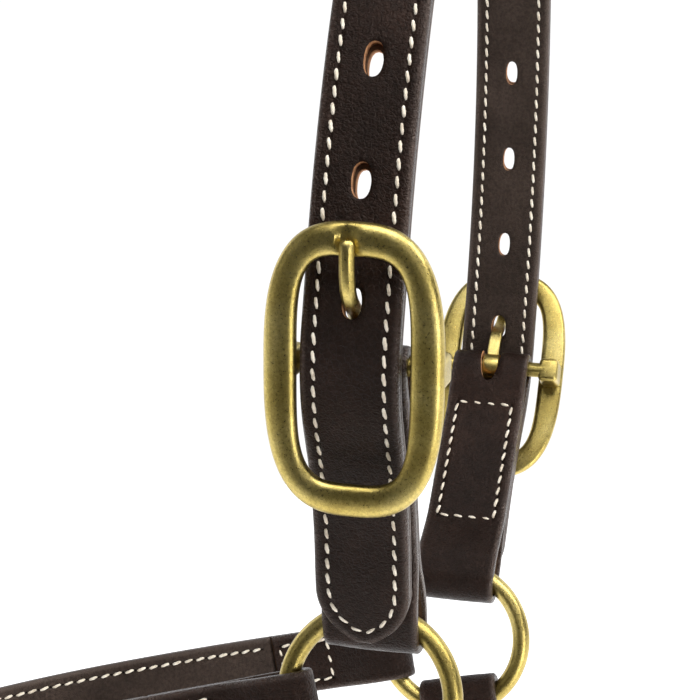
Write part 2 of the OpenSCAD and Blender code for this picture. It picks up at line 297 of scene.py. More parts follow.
def ply(line, width, thick, plane, spans=(), seed=0.0, half_width=None, slots=()):
    """Vertices, faces, face materials and edge mask of one ply; the leather paints the edges lighter by it,
    for wear and as a painted highlight. spans are where the stitch rows run along it, and slots are (u, half
    length, half width)."""
    N = len(line.u)
    half = np.full(N, width / 2) if half_width is None else half_width(line.u)
    v0 = columns(width)
    m = len(v0)
    shrink = np.clip(half / (width / 2), 0, 1)
    edge_r = np.minimum(EDGE_R, half * 0.8)
    top = np.full(N, thick / 2)

    def edge_v(a):
        return half - edge_r * (1 - math.cos(rad(a)))

    def edge_row(a, way):
        return way * edge_v(a), top - EDGE_R * (1 - math.sin(rad(a))), math.sin(rad(a))

    def back_row(a, way):
        return way * (half - BACK_R * (1 - math.cos(rad(a)))), -top + BACK_R * (1 + math.sin(rad(a))), 0.0

    # the section, once round: across position, height, and how much of the shown face's relief it takes
    loop = [(v * shrink, top, 1.0) for v in v0]
    loop += [edge_row(a, -1) for a in EDGE_ANGLES[1:]]
    loop += [back_row(a, -1) for a in BACK_ANGLES]
    loop += [(v * shrink, -top, 0.0) for v in v0[::-1]]
    loop += [back_row(a, 1) for a in BACK_ANGLES[::-1]]
    loop += [edge_row(a, 1) for a in EDGE_ANGLES[::-1][:-1]]
    M = len(loop)
    U = np.repeat(line.u[:, None], M, 1)
    V = np.stack([c[0] for c in loop], 1)
    Z = np.stack([c[1] for c in loop], 1)
    share = np.array([c[2] for c in loop])
    tail = len(BACK_ANGLES) + len(EDGE_ANGLES) - 1      # rows after the back face
    # slots: the rows and columns they remove, and the vertices round them drawn in to a rounded outline
    cut = []
    for uc, a, b in slots:
        du = line.u - uc
        if line.closed:
            du = (du + line.length / 2) % line.length - line.length / 2
        du = np.abs(du)
        ins = np.where(du <= a + 0.2)[0]
        if line.closed and ins.max() - ins.min() > N / 2:
            ins = np.concatenate([ins[ins > N / 2], ins[ins < N / 2]])
        cols = [k for k in range(m) if abs(v0[k]) <= b + 0.05]
        cut.append((ins, cols))
        ulo, uhi = line.u[ins[0]], line.u[ins[-1]]
        if uhi < ulo:
            ulo -= line.length
        ar, br, mid = (uhi - ulo) / 2, abs(v0[cols[0]]), (uhi + ulo) / 2
        for shown in (True, False):
            idx = np.arange(m) if shown else M - tail - 1 - np.arange(m)
            for k in range(m):
                j = idx[k]
                x = line.u - mid
                if line.closed:
                    x = (x + line.length / 2) % line.length - line.length / 2
                y = np.full(N, v0[k])
                rho = np.maximum(np.abs(x) / ar, np.abs(y) / br)
                gap = np.maximum(np.abs(x) - ar, np.abs(y) - br)
                w = 1 - smooth(gap / SLOT_BLEND)
                w = np.where(rho > 0.999, w, 1.0)
                R = np.hypot(x, y) + 1e-9
                cx, cy = np.abs(x) / R, np.abs(y) / R
                rect = np.minimum(ar / np.maximum(cx, 1e-6), br / np.maximum(cy, 1e-6))
                # the oval's radius in that direction
                oval_r = ((cx / a) ** SLOT_POWER + (cy / b) ** SLOT_POWER) ** (-1 / SLOT_POWER)
                near = np.abs(gap) < SLOT_BLEND
                move = (oval_r - rect) * w * near
                U[:, j] += np.where(near, move * x / R, 0)
                V[:, j] += np.where(near, move * y / R, 0)
    deep = depth_in(U, V, width, line.length, half_width is not None)
    H = relief(U, V, deep, spans, seed, slots if not line.closed else ())
    Z = Z + H * share[None, :]
    if not line.closed:          # the ends round over
        tip = np.ones(N)
        for d in (line.u, line.length - line.u):
            tip = tip * np.sqrt(np.clip(1 - (1 - np.clip(d / 1.0, 0.02, 1)) ** 2, 0, 1))
        Z = Z * tip[:, None]
    Q, n = line.at(U.ravel())
    P = Q + n * Z.ravel()[:, None]
    co = plane(P[:, 0], P[:, 1], V.ravel())
    faces, mats = [], []
    skip = set()
    for ins, cols in cut:
        for i in ins[:-1]:
            for k in cols[:-1]:
                skip.add((int(i), k))
                skip.add((int(i), M - tail - 1 - (k + 1)))
    for i in range(N if line.closed else N - 1):
        a, b = i * M, ((i + 1) % N) * M
        for j in range(M):
            if (i, j) in skip:
                continue
            j2 = (j + 1) % M
            faces.append((a + j, a + j2, b + j2, b + j))
            mats.append(2 if m + tail <= j < 2 * m + tail - 1 else 0)      # 2 is the flesh side
    for ins, cols in cut:        # the walls of each slot
        ring = [(int(ins[0]), k) for k in cols] + [(int(i), cols[-1]) for i in ins[1:]]
        ring += [(int(ins[-1]), k) for k in cols[::-1][1:]] + [(int(i), cols[0]) for i in ins[::-1][1:-1]]
        top = [i * M + k for i, k in ring]
        bot = [i * M + (M - tail - 1 - k) for i, k in ring]
        L = len(ring)
        for q in range(L):
            w = (q + 1) % L
            faces.append((top[q], top[w], bot[w], bot[q]))
            mats.append(1)
    if not line.closed:
        faces.append(tuple(range(M))[::-1])
        faces.append(tuple((N - 1) * M + j for j in range(M)))
        mats += [0, 0]
    # the edge mask: 1 on and near the edges, where the leather is painted lighter for wear and as a painted
    # highlight
    edge = 1 - smooth((np.clip(deep, 0, 99) - 0.5) / 1.6)
    edge = np.where(share[None, :] > 0.98, edge, 1.0)
    return co * MM, faces, mats, edge.ravel()


def mesh_object(name, co, faces, materials, mats=None, shade=None, mirror=False):
    """A linked, smooth mesh object. mirror makes the right side's piece from the left side's points."""
    co = np.array(co, float)
    if mirror:
        co = co * np.array([-1, 1, 1])
        faces = [f[::-1] for f in faces]
    me = bpy.data.meshes.new(name)
    me.from_pydata([tuple(c) for c in co], [], faces)
    for mt in materials:
        me.materials.append(mt)
    if mats is not None:
        me.polygons.foreach_set("material_index", np.array(mats, np.int32))
    me.polygons.foreach_set("use_smooth", np.ones(len(me.polygons), bool))
    if shade is not None:
        at = me.attributes.new("edge", "FLOAT", "POINT")
        at.data.foreach_set("value", np.array(shade, np.float32))
    me.validate()
    me.update()
    ob = bpy.data.objects.new(name, me)
    bpy.context.scene.collection.objects.link(ob)
    return ob


def flip_if_inside_out(co, faces):
    """Turns the faces round if the closed mesh's volume comes out negative."""
    co = np.array(co)
    tri = [(f[0], f[i], f[i + 1]) for f in faces for i in range(1, len(f) - 1)]
    t = np.array(tri)
    a, b, c = co[t[:, 0]], co[t[:, 1]], co[t[:, 2]]
    vol = np.einsum("ij,ij->i", a, np.cross(b, c)).sum()
    return [tuple(f[::-1]) for f in faces] if vol < 0 else faces


# ------------------------------------------------------------------ stitches
def stitches(line, plane, tracks, top, mirrored_slant=False, seed=1):
    """One mesh of twisted thread stitches. Each track is a list of (u, v) hole points, and a stitch joins
    each two."""
    K, R = 9, 9                  # points along and round a stitch
    shortest, gap = 1.5, 0.62    # the least space between holes for a stitch, and from a hole to its thread
    slant = -1 if mirrored_slant else 1
    co, faces, pits = [], [], []
    rng = np.random.default_rng(seed)
    t = np.linspace(0, 1, K)
    lift = -0.78 + 0.74 * np.sin(np.pi * t) ** 0.5
    for track in tracks:
        tr = np.array(track, float)
        for a, b in zip(tr[:-1], tr[1:]):
            d = b - a
            L = np.linalg.norm(d)
            if L < shortest:
                continue
            d /= L
            s0, s1 = a + d * gap, b - d * gap
            square = np.array([-d[1], d[0]])
            across = square * (0.30 + 0.05 * rng.standard_normal()) * slant
            jig = 0.05 * rng.standard_normal()
            pits.append((a, d, square))
            p = s0[None] + (s1 - s0)[None] * t[:, None] + across[None] * (2 * t[:, None] - 1)
            Q, n = line.at(p[:, 0])
            z = top + lift + jig * 0.5
            c2 = Q + n * z[:, None]
            c3 = plane(c2[:, 0], c2[:, 1], p[:, 1])
            o2 = Q + n * (z + 1)[:, None]
            up = plane(o2[:, 0], o2[:, 1], p[:, 1]) - c3
            tan = np.gradient(c3, axis=0)
            tan /= np.linalg.norm(tan, axis=1)[:, None]
            side = np.cross(tan, up)
            side /= np.linalg.norm(side, axis=1)[:, None]
            up2 = np.cross(side, tan)
            base = len(co)
            r0 = THREAD_R * (1 + 0.05 * rng.standard_normal())
            tw = rng.uniform(0, 6.28)
            for k in range(K):
                taper = 0.62 + 0.38 * math.sin(math.pi * t[k]) ** 0.5
                for j in range(R):
                    ph = 2 * math.pi * j / R
                    rr = r0 * taper * (1 + 0.13 * math.cos(3 * (ph - 4.4 * t[k]) + tw))
                    co.append(c3[k] + rr * (math.cos(ph) * side[k] + math.sin(ph) * up2[k]))
            faces += [tuple(base + v for v in f) for f in tube_faces(K, R, closed=False)]
        pits.append((np.array(track[-1], float), d, square))
    faces = flip_if_inside_out(co, faces)
    mats = [0] * len(faces)
    for a, d, square in pits:        # the awl holes the thread goes down: shallow dished slits, coloured near black as painted shade for the holes' depth
        base = len(co)
        for rr, h in ((1.0, -0.26), (0.45, -0.40)):
            for j in range(8):
                ph = math.pi * j / 4
                along = d * 0.56 * math.cos(ph)
                w = a + rr * (along + square * 0.50 * math.sin(ph) - slant * square * 0.22 * math.cos(ph))
                Q, n = line.at([w[0]])
                c2 = Q + n * (top + h)
                co.append(plane(c2[:, 0], c2[:, 1], np.array([w[1]]))[0])
        for j in range(8):
            j2 = (j + 1) % 8
            faces.append((base + j, base + j2, base + 8 + j2, base + 8 + j))
        faces.append(tuple(base + 8 + j for j in range(8)))
        mats += [1] * 9
    return np.array(co) * MM, faces, mats


def tube_faces(N, M, closed=True):
    """Faces of N rings of M points, joined end to end or capped."""
    f = []
    for i in range(N if closed else N - 1):
        a, b = i * M, ((i + 1) % N) * M
        for j in range(M):
            f.append((a + j, a + (j + 1) % M, b + (j + 1) % M, b + j))
    if not closed:
        f += [tuple(range(M))[::-1], tuple((N - 1) * M + j for j in range(M))]
    return f


def straight_rows(u0, u1, half, cross=False):
    """Tracks of holes along both edges, and across both ends too if cross."""
    n = int(round((u1 - u0) / PITCH))
    us = u0 + PITCH * np.arange(n + 1)
    v = half - INSET
    out = [[(u, v) for u in us], [(u, -v) for u in us]]
    if cross:
        k = max(1, int(round(2 * v / PITCH)))
        for u in (us[0], us[-1]):
            out.append([(u, x) for x in np.linspace(-v, v, k + 1)])
    return out


# ------------------------------------------------------------------ materials
def node_tree(name):
    m = bpy.data.materials.new(name)
    m.use_nodes = True
    t = m.node_tree
    t.nodes.clear()
    out = t.nodes.new("ShaderNodeOutputMaterial")
    b = t.nodes.new("ShaderNodeBsdfPrincipled")
    t.links.new(b.outputs[0], out.inputs[0])
    return m, t, b


def add(t, kind, sockets):
    n = t.nodes.new(kind)
    for k, v in sockets.items():
        n.inputs[k].default_value = v
    return n


def noise(t, scale, detail=3.0, rough=0.55, stretch=None):
    tc = t.nodes.new("ShaderNodeTexCoord")
    src = tc.outputs["Object"]
    if stretch:
        mp = t.nodes.new("ShaderNodeMapping")
        mp.inputs["Scale"].default_value = stretch
        t.links.new(src, mp.inputs["Vector"])
        src = mp.outputs[0]
    n = add(t, "ShaderNodeTexNoise", {"Scale": scale, "Detail": detail, "Roughness": rough})
    t.links.new(src, n.inputs["Vector"])
    return n.outputs["Fac"]


def ramp(t, fac, stops):
    r = t.nodes.new("ShaderNodeValToRGB")
    els = r.color_ramp.elements
    while len(els) < len(stops):
        els.new(0.5)
    for e, (p, c) in zip(els, stops):
        e.position = p
        e.color = (*c, 1)
    t.links.new(fac, r.inputs[0])
    return r.outputs[0]


def grey(x):
    return (x, x, x)


def mix(t, a, b, fac, mode="MIX"):
    m = t.nodes.new("ShaderNodeMix")
    m.data_type = "RGBA"
    m.blend_type = mode
    for sock, v in ((m.inputs[0], fac), (m.inputs[6], a), (m.inputs[7], b)):
        if isinstance(v, bpy.types.NodeSocket):
            t.links.new(v, sock)
        else:
            sock.default_value = v if isinstance(v, (int, float)) else (*v, 1)
    return m.outputs[2]


def math_node(t, op, *values):
    m = t.nodes.new("ShaderNodeMath")
    m.operation = op
    for s, v in zip(m.inputs, values):
        if isinstance(v, bpy.types.NodeSocket):
            t.links.new(v, s)
        else:
            s.default_value = v
    return m.outputs[0]


def bump(t, height, strength, distance, normal=None):
    b = t.nodes.new("ShaderNodeBump")
    b.inputs["Strength"].default_value = strength
    b.inputs["Distance"].default_value = distance
    t.links.new(height, b.inputs["Height"])
    if normal is not None:
        t.links.new(normal, b.inputs["Normal"])
    return b.outputs[0]


def leather(name, dark, mid, light, rough, grain=1500.0, depth=0.00012, coat=0.02):
    """Dyed strap leather: cloudy dye, pebbled grain with fine creases, and glossier edges painted lighter,
    partly for real rubbed wear and partly as a painted highlight line along them.
    """
    m, t, b = node_tree(name)
    dye = ramp(t, noise(t, 38, 5, 0.6), [(0.30, dark), (0.52, mid), (0.74, light)])
    pores = ramp(t, noise(t, 900, 4, 0.65), [(0.36, grey(0.45)), (0.60, grey(1.15))])
    col = mix(t, dye, pores, 0.75, "MULTIPLY")
    edge = t.nodes.new("ShaderNodeAttribute")
    edge.attribute_name = "edge"
    patches = ramp(t, noise(t, 120, 4, 0.7), [(0.3, grey(0.25)), (0.7, grey(1.0))])
    # painted highlight: near the edges the colour is lightened, partly for real rubbed wear and partly to
    # stand for the bright line of light the edges catch
    worn_and_painted_highlight = math_node(t, "MULTIPLY", edge.outputs["Fac"], patches)
    rubbed_and_highlight_colour = tuple(min(1, x * 1.7 + 0.004) for x in light)
    col = mix(t, col, rubbed_and_highlight_colour, math_node(t, "MULTIPLY", worn_and_painted_highlight, 0.45))
    t.links.new(col, b.inputs["Base Color"])
    rg = ramp(t, noise(t, 260, 4, 0.6), [(0.3, grey(rough - 0.07)), (0.7, grey(rough + 0.09))])
    rg = mix(t, rg, grey(rough - 0.17), math_node(t, "MULTIPLY", edge.outputs["Fac"], 0.6))
    t.links.new(rg, b.inputs["Roughness"])
    tc = t.nodes.new("ShaderNodeTexCoord")
    pebble = add(t, "ShaderNodeTexVoronoi", {"Scale": grain, "Randomness": 0.95})
    t.links.new(tc.outputs["Object"], pebble.inputs["Vector"])
    cells = t.nodes.new("ShaderNodeTexVoronoi")
    cells.feature = "DISTANCE_TO_EDGE"
    cells.inputs["Scale"].default_value = grain * 0.42
    cells.inputs["Randomness"].default_value = 1.0
    wobble = t.nodes.new("ShaderNodeVectorMath")
    wobble.operation = "MULTIPLY_ADD"
    drift = add(t, "ShaderNodeTexNoise", {"Scale": 700.0, "Detail": 2.0})
    t.links.new(tc.outputs["Object"], drift.inputs["Vector"])
    t.links.new(drift.outputs["Color"], wobble.inputs[0])
    wobble.inputs[1].default_value = (0.0012, 0.0012, 0.0012)
    t.links.new(tc.outputs["Object"], wobble.inputs[2])
    t.links.new(wobble.outputs[0], cells.inputs["Vector"])
    crease = ramp(t, cells.outputs["Distance"], [(0.0, grey(0.0)), (0.10, grey(1.0))])
    normal = bump(t, crease, 0.75, depth * 1.8)
    normal = bump(t, pebble.outputs["Distance"], 0.85, depth * 1.7, normal)
    normal = bump(t, noise(t, 4200, 3, 0.6), 0.3, depth, normal)
    normal = bump(t, noise(t, 150, 4, 0.6), 0.50, 0.0009, normal)
    normal = bump(t, noise(t, 480, 5, 0.72, stretch=(1.0, 1.0, 2.6)), 0.60, 0.0006, normal)
    t.links.new(normal, b.inputs["Normal"])
    gloss = math_node(t, "MULTIPLY_ADD", edge.outputs["Fac"], 0.36, 0.16)
    t.links.new(gloss, b.inputs["Specular IOR Level"])
    b.inputs["Specular Tint"].default_value = (1.0, 0.84, 0.75, 1)
    b.inputs["Coat Weight"].default_value = coat
    b.inputs["Coat Roughness"].default_value = 0.28
    return m


def raw_leather(name, shade=1.0):
    """Undyed, fibrous leather, as in a punched hole or on the flesh side."""
    m, t, b = node_tree(name)
    tans = [(0.3, (0.16, 0.065, 0.025)), (0.5, (0.36, 0.17, 0.07)), (0.75, (0.52, 0.29, 0.14))]
    col = ramp(t, noise(t, 700, 5, 0.7), [(at, tuple(x * shade for x in c)) for at, c in tans])
    t.links.new(col, b.inputs["Base Color"])
    t.links.new(ramp(t, noise(t, 500), [(0.3, grey(0.75)), (0.7, grey(0.95))]), b.inputs["Roughness"])
    t.links.new(bump(t, noise(t, 2600, 5, 0.75), 0.8, 0.00025), b.inputs["Normal"])
    return m


def thread(name):
    m, t, b = node_tree(name)
    creams = [(0.3, (0.50, 0.42, 0.32)), (0.5, (0.72, 0.64, 0.52)), (0.7, (0.86, 0.80, 0.69))]
    t.links.new(ramp(t, noise(t, 420, 4, 0.6), creams), b.inputs["Base Color"])
    t.links.new(ramp(t, noise(t, 900), [(0.3, grey(0.6)), (0.7, grey(0.85))]), b.inputs["Roughness"])
    t.links.new(bump(t, noise(t, 5200, 4, 0.7), 0.6, 0.0001), b.inputs["Normal"])
    b.inputs["Sheen Weight"].default_value = 0.25
    return m


def brass(name):
    """Satin cast brass: slow tone changes, fine dark grain, brushed and slightly uneven."""
    m, t, b = node_tree(name)
    tones = [(0.28, (0.31, 0.228, 0.058)), (0.5, (0.45, 0.35, 0.105)), (0.72, (0.58, 0.47, 0.18))]
    tone = ramp(t, noise(t, 55, 6, 0.65), tones)
    grain = ramp(t, noise(t, 1500, 5, 0.75), [(0.40, grey(0.60)), (0.58, grey(1.12))])
    t.links.new(mix(t, tone, grain, 0.55, "MULTIPLY"), b.inputs["Base Color"])
    satin = [(0.35, grey(0.25)), (0.5, grey(0.31)), (0.65, grey(0.39))]
    t.links.new(ramp(t, noise(t, 1300, 6, 0.75), satin), b.inputs["Roughness"])
    normal = bump(t, noise(t, 3000, 4, 0.8), 0.60, 0.0001)
    normal = bump(t, noise(t, 900, 3, 0.6, stretch=(1.0, 1.0, 0.08)), 0.16, 0.0001, normal)
    normal = bump(t, noise(t, 60, 2, 0.4), 0.12, 0.0009, normal)
    t.links.new(normal, b.inputs["Normal"])
    b.inputs["Metallic"].default_value = 1.0
    return m


LEATHER = leather("espresso_bridle_leather", (0.0060, 0.0024, 0.0015), (0.0125, 0.0055, 0.0036),
                  (0.028, 0.0135, 0.0092), 0.38)
LINING_M = leather("brown_lining_leather", (0.020, 0.013, 0.010), (0.034, 0.023, 0.018),
                   (0.055, 0.038, 0.030), 0.56, 1900.0, 0.0001, 0.05)
RAW = raw_leather("raw_tan_leather", 1.15)
FLESH = raw_leather("brown_flesh_side", 0.20)
THREAD = thread("cream_waxed_thread")
# painted shade: the awl holes' near-black colour stands in for the shadow inside the holes
AWL_PAINTED_SHADE = leather("awl_holes_painted_shade", (0.0012, 0.0008, 0.0006), (0.002, 0.0013, 0.001),
              (0.004, 0.0026, 0.002), 0.8, coat=0.0)
BRASS = brass("satin_brass")


def put(ob, body, slot, *nodes):
    """Makes a piece ride on its body and hides the CAD nodes it stands for. The material slot argument is not
    used.
    """
    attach(ob, body)
    if nodes:
        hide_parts(*nodes)


# ------------------------------------------------------------------ crown: two plies from tip to tip
def crown_line(offset, step, flip=False):
    us = np.append(np.arange(0, CROWN_L + 0.01, 0.5), CROWN_L)
    left = [aside(walk(crown_half, u, CROWN_AT), offset) for u in us]
    pts = [(-x, y) for x, y in left[::-1]] + left[1:]
    return Line(pts, step, flip=flip)


def crown_half_width(length):
    def f(u):
        d = np.minimum(u, length - u)            # from the nearer tip
        x = np.clip(ARCH_L - d, 0, ARCH_L)
        w = np.sqrt(np.maximum(ARCH_R ** 2 - x ** 2, 0)) - (ARCH_R - CROWN_W / 2)
        w = np.where(d < 1.2, np.maximum(w, 2.2 * np.sqrt(np.clip(d, 0.02, 1.2) / 1.2)), w)
        return np.where(d > ARCH_L, CROWN_W / 2, np.maximum(w, 0.35))
    return f


def crown_tracks(length):
    """Stitch holes all the way round the crown, a constant way in from its outline."""
    r = ARCH_R - INSET
    reach = math.sqrt(r ** 2 - (ARCH_R - CROWN_W / 2) ** 2)
    x = np.linspace(reach, 0, 60)
    side = [(ARCH_L - k, max(0.0, math.sqrt(r ** 2 - k ** 2) - (ARCH_R - CROWN_W / 2))) for k in x]
    full = side + [(length / 2, CROWN_W / 2 - INSET)]
    full = full + [(length - u, v) for u, v in full[::-1][1:]]
    pts = np.array(full)
    s = np.concatenate([[0], np.cumsum(np.linalg.norm(np.diff(pts, axis=0), axis=1))])
    at = np.linspace(0, s[-1], int(round(s[-1] / PITCH)) + 1)
    return [[(np.interp(a, s, pts[:, 0]), way * np.interp(a, s, pts[:, 1])) for a in at] for way in (1, -1)]


def hole_at(u, i, line, lining):
    """A punched hole; the first pair is drawn in round the tongues."""
    if i > 1:
        less = 0.55 if lining else 0.0
        return u, HOLE_L / 2 - 0.25 - less, HOLE_W / 2 - less
    up_strap = 1 if u < line.length / 2 else -1
    if lining:
        return u + 0.2 * up_strap, 4.6, 2.5
    return u + 0.7 * up_strap, 4.1, 2.45


def crown_ply(name, node, offset, thick, material, slot, lining=False):
    line = crown_line(offset, STEP, lining)
    middle = line.length / 2
    scale = middle / CROWN_L
    holes = [HOLE_U - i * HOLE_PITCH for i in range(HOLE_COUNT)]
    us = [middle + way * u * scale for u in holes for way in (1, -1)]
    co, faces, mats, shade = ply(line, CROWN_W, thick, crown_plane, spans=[(2, line.length - 2)],
                                 seed=1.0 + lining, half_width=crown_half_width(line.length),
                                 slots=[hole_at(u, i, line, lining) for i, u in enumerate(us)])
    ob = mesh_object(name, co, flip_if_inside_out(co, faces), [material, RAW, FLESH], mats, shade)
    put(ob, "crown", slot, node)
    co, faces, mats = stitches(line, crown_plane, crown_tracks(line.length), thick / 2, lining, 3 + lining)
    put(mesh_object(name + "_stitching", co, faces, [THREAD, AWL_PAINTED_SHADE], mats), "crown", slot)


crown_ply("crown_strap", "crown_outer", PLY / 2, PLY, LEATHER, "strap_leather")
crown_ply("crown_strap_lining", "crown_lining", -LINING / 2, LINING, LINING_M, "lining_leather", lining=True)


# ------------------------------------------------------------------ folded straps
def span_between(pts):
    p = np.array(pts)
    return float(np.linalg.norm(np.diff(p, axis=0), axis=1).sum())


def round_end(centre, r, turns):
    """Points of an arc round a fold's centre, at the given turns from its heading."""
    x, y, heading = centre
    return [(x + r * math.cos(rad(heading + t)), y + r * math.sin(rad(heading + t))) for t in turns]


def folded_line(path, at, a, b):
    """The closed centre line of a strap folded at both ends, and the lengths of its lower run and far end."""
    L = span(path)
    g = PLY / 2
    us = np.append(np.arange(a[0], L - b[0], 0.6), L - b[0])
    wide = [g + max(half_gap(u, a), half_gap(L - u, b)) for u in us]
    low = [aside(walk(path, u, at), -w) for u, w in zip(us, wide)]
    high = [aside(walk(path, u, at), w) for u, w in zip(us, wide)][::-1]
    end_b = round_end(walk(path, L - b[0], at), b[1] + g, range(-84, 85, 6))
    end_a = round_end(walk(path, a[0], at), a[1] + g, range(96, 265, 6))
    line = Line(low + end_b + high + end_a, STEP, closed=True, flip=True)
    return line, span_between(low), span_between(end_b)


def folded(name, path, at, a, b, width, plane, body, node, side, start, stop, cross=True, slots=(), seed=1.0):
    """A strap folded back on itself at both ends, sewn from start to stop along its path."""
    line, low, end = folded_line(path, at, a, b)
    count = round((stop - start) / PITCH)
    low0 = start - a[0]
    high0 = low + end + (span(path) - b[0] - stop) + 1.0
    runs = [(first, first + count * PITCH) for first in (low0, high0)]
    co, faces, mats, shade = ply(line, width, PLY, plane, runs, seed, slots=slots)
    faces = flip_if_inside_out(co, faces)
    ob = mesh_object(name, co, faces, [LEATHER, RAW, FLESH], mats, shade, mirror=side < 0)
    put(ob, body, "strap_leather", node)
    tracks = [row for u0, u1 in runs for row in straight_rows(u0, u1, width / 2, cross)]
    co, faces, mats = stitches(line, plane, tracks, PLY / 2, False, int(seed * 10))
    ob = mesh_object(name + "_stitching", co, faces, [THREAD, AWL_PAINTED_SHADE], mats, mirror=side < 0)
    put(ob, body, "strap_leather")


RING_OUT = RING_R + WIRE_R
tab_loop = folded_line(tab_path, tab_at, BAR_FOLD, TAB_FOLD)[0]
bar_side = tab_loop.length - math.pi * (BAR_FOLD[1] + PLY / 2) / 2      # the middle of the fold round the bar
for side, hand in ((1, "left"), (-1, "right")):
    folded(hand + "_tab", tab_path, tab_at, BAR_FOLD, TAB_FOLD, TAB_W, crown_plane,
           "crown", hand + "_buckle_tab", side, 16, 60, slots=[(bar_side, 14.0, 3.5)], seed=2.0 + side)
    fold = ring_fold(STRAP_W)
    folded(hand + "_cheekpiece_strap", cheek_path, (0, upper[0], splay), fold, fold,
           STRAP_W, strap_plane(CHEEK_A, (0, upper[1], upper[2])), hand + "_cheekpiece", hand + "_cheekpiece",
           side, RING_OUT + 14, CHEEK_L - RING_OUT - 14, seed=5.0 + side)
    folded(hand + "_chin", chin_path, (0, lower[0], 0), ring_fold(CHIN_W), CHIN_FOLD,
           CHIN_W, strap_plane(CHIN_A, (0, lower[1], lower[2])), hand + "_chin_strap", hand + "_chin_strap",
           side, RING_OUT + 12, span(chin_path) - 17, cross=False, seed=7.5 + side)


# ------------------------------------------------------------------ loops: noseband and throat strap
def loop_strap(name, path, at, width, plane, body, seed):
    """A strap whose ends fold back round two rings, with a lining ply between the turned-back ends."""
    fold = ring_fold(width)
    L = span(path)
    g = PLY / 2
    us = np.append(np.arange(fold[0], L - fold[0], 0.6), L - fold[0])
    wide = [g + max(half_gap(u, fold), half_gap(L - u, fold)) for u in us]
    outside = [aside(walk(path, u, at), w) for u, w in zip(us, wide)]
    start = [aside(walk(path, u, at), -w) for u, w in zip(us, wide) if u < RETURN_L - 0.2][::-1]
    stop = [aside(walk(path, u, at), -w) for u, w in zip(us, wide) if u > L - RETURN_L + 0.2][::-1]
    end_a = round_end(walk(path, fold[0], at), fold[1] + g, range(264, 95, -6))
    end_b = round_end(walk(path, L - fold[0], at), fold[1] + g, range(84, -85, -6))
    line = Line(start + end_a + outside + end_b + stop, STEP)
    first = RING_OUT + 14
    out0 = span_between(start) + span_between(end_a) + (first - fold[0]) + 1
    out1 = out0 + round((L - 2 * first) / PITCH) * PITCH
    turned_back = 3 + int((RETURN_L - 2 - first) / PITCH) * PITCH
    runs = ((3, turned_back), (out0, out1), (line.length - turned_back, line.length - 3))
    co, faces, mats, shade = ply(line, width, PLY, plane, runs, seed)
    ob = mesh_object(name, co, flip_if_inside_out(co, faces), [LEATHER, RAW, FLESH], mats, shade)
    put(ob, body, "strap_leather", body + "_outer")
    tracks = [row for u0, u1 in runs for row in straight_rows(u0, u1, width / 2, cross=True)]
    co, faces, mats = stitches(line, plane, tracks, PLY / 2, False, int(seed * 10))
    put(mesh_object(name + "_stitching", co, faces, [THREAD, AWL_PAINTED_SHADE], mats), body, "strap_leather")

    us = np.linspace(RETURN_L + 0.25, L - RETURN_L - 0.25, 200)
    inner = Line([aside(walk(path, u, at), -g) for u in us], STEP, flip=True)
    r0 = (inner.length - int((inner.length - 6) / PITCH) * PITCH) / 2
    run = (r0, inner.length - r0)
    co, faces, mats, shade = ply(inner, width, PLY, plane, [run], seed + 3)
    ob = mesh_object(name + "_lining", co, flip_if_inside_out(co, faces), [LINING_M, RAW, FLESH], mats, shade)
    put(ob, body, "lining_leather", body + "_lining")
    tracks = straight_rows(*run, width / 2)
    co, faces, mats = stitches(inner, plane, tracks, PLY / 2, True, int(seed * 10) + 1)
    put(mesh_object(name + "_lining_stitching", co, faces, [THREAD, AWL_PAINTED_SHADE], mats), body, "lining_leather")


loop_strap("noseband_strap", nose_path, (0, lower[0], 0), STRAP_W,
           strap_plane(NOSE_A, (0, lower[1], lower[2])), "noseband", 11.0)
loop_strap("throat_strap_loop", throat_path, (0, upper[0], 0), THROAT_W,
           strap_plane(THROAT_A, (0, upper[1], upper[2])), "throat_strap", 13.0)


# ------------------------------------------------------------------ buckles
def at_bar(s, y, n):
    """Buckle coordinates (length, side, out), in mm, to the row frame, for the left side."""
    s, y, n = np.broadcast_arrays(np.asarray(s, float), np.asarray(y, float), np.asarray(n, float))
    fl = rad(FRAME_LEAN)
    x = bar[0] - s * math.sin(fl) + n * math.cos(fl)
    z = bar[1] - s * math.cos(fl) - n * math.sin(fl)
    return crown_plane(x, z, y) * MM


def oval(a, b, p, t):
    c, s = np.cos(t), np.sin(t)
    return a * np.sign(c) * np.abs(c) ** (2 / p), b * np.sign(s) * np.abs(s) ** (2 / p)


def even_angles(a, b, p, n):
    """Angles that space an oval's points evenly."""
    t = np.linspace(0, 2 * math.pi, 4001)
    x, y = oval(a, b, p, t)
    d = np.concatenate([[0], np.cumsum(np.hypot(np.diff(x), np.diff(y)))])
    return np.interp(np.linspace(0, d[-1], n, endpoint=False), d, t)


def joined(name, parts, sharp, mirror):
    """Boolean union of closed brass shells into one mesh object."""
    obs = [mesh_object(name + "_%d" % i, co, flip_if_inside_out(co, f), [BRASS], mirror=mirror)
           for i, (co, f) in enumerate(parts)]
    first = obs[0]
    for o in obs[1:]:
        md = first.modifiers.new("join", "BOOLEAN")
        md.operation, md.solver, md.object = "UNION", "EXACT", o
    dg = bpy.context.evaluated_depsgraph_get()
    me = bpy.data.meshes.new_from_object(first.evaluated_get(dg))
    for o in obs:
        bpy.data.objects.remove(o)
    me.name = name
    me.polygons.foreach_set("use_smooth", np.ones(len(me.polygons), bool))
    me.set_sharp_from_angle(angle=rad(sharp))
    ob = bpy.data.objects.new(name, me)
    bpy.context.scene.collection.objects.link(ob)
    return ob


